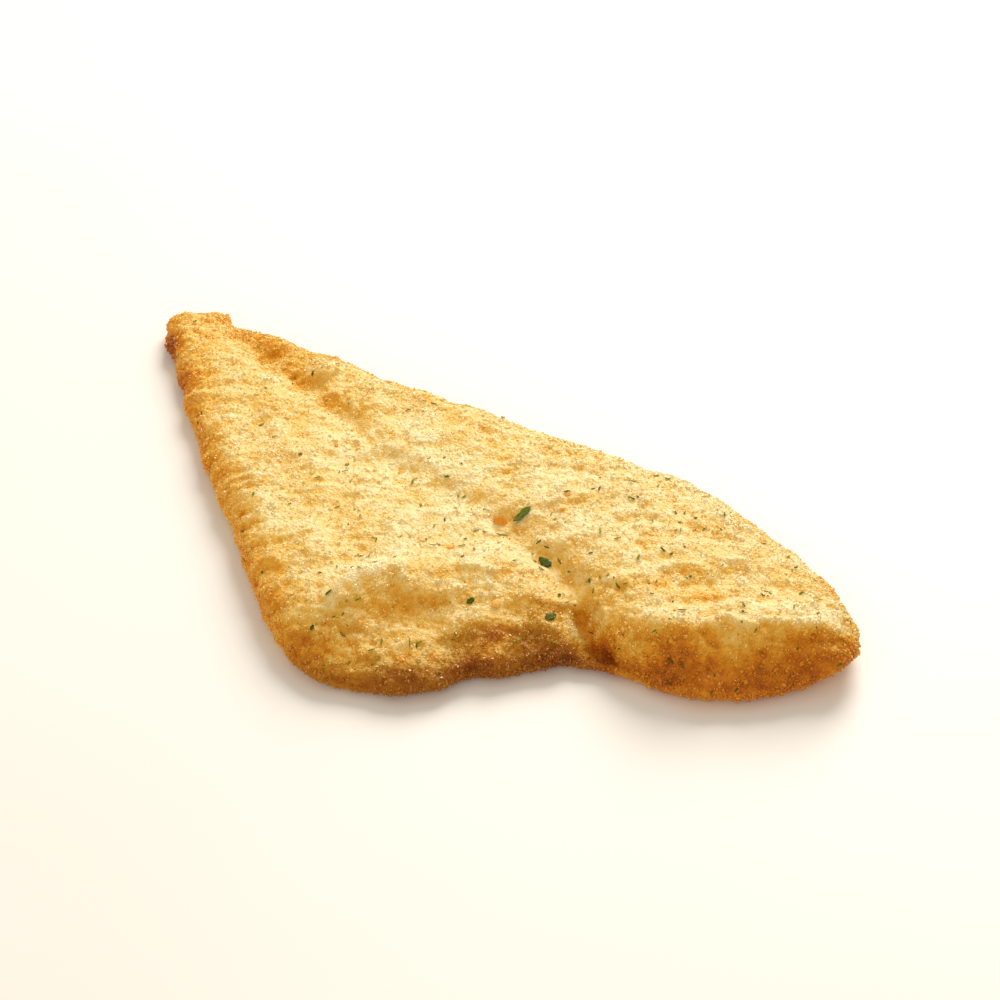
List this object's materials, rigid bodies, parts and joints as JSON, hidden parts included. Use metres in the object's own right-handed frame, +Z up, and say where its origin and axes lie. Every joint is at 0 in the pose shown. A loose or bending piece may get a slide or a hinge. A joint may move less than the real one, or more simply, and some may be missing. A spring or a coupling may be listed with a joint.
{
  "type": "fried fish fillet",
  "caption": "Flat two-lobed fried fish fillet in a golden crumb crust, tapering from thick lobes to a blunt tail, with a centre groove and herb flecks.",
  "frame": {"origin": "middle of the box, on the flat underside it lies on", "axes": "+Z up from the flat underside; +Y along the fillet from the two lobes to the tail; +X across, to the thicker lobe"},
  "size_m": [0.1226, 0.226, 0.0162],
  "materials": {
    "crust": "golden fried breadcrumb crust, matt with a little oily sheen, browner at rims",
    "crumbs": "loose pale gold crumb grains fried onto the crust",
    "toasted_crumbs": "darker toasted crumbs, orange brown",
    "herbs": "chopped green herb leaf, satin",
    "specks": "fine dark dried-herb specks, matt"
  },
  "bodies": {
    "root": {"fillet": "crust"}
  },
  "joints": []
}
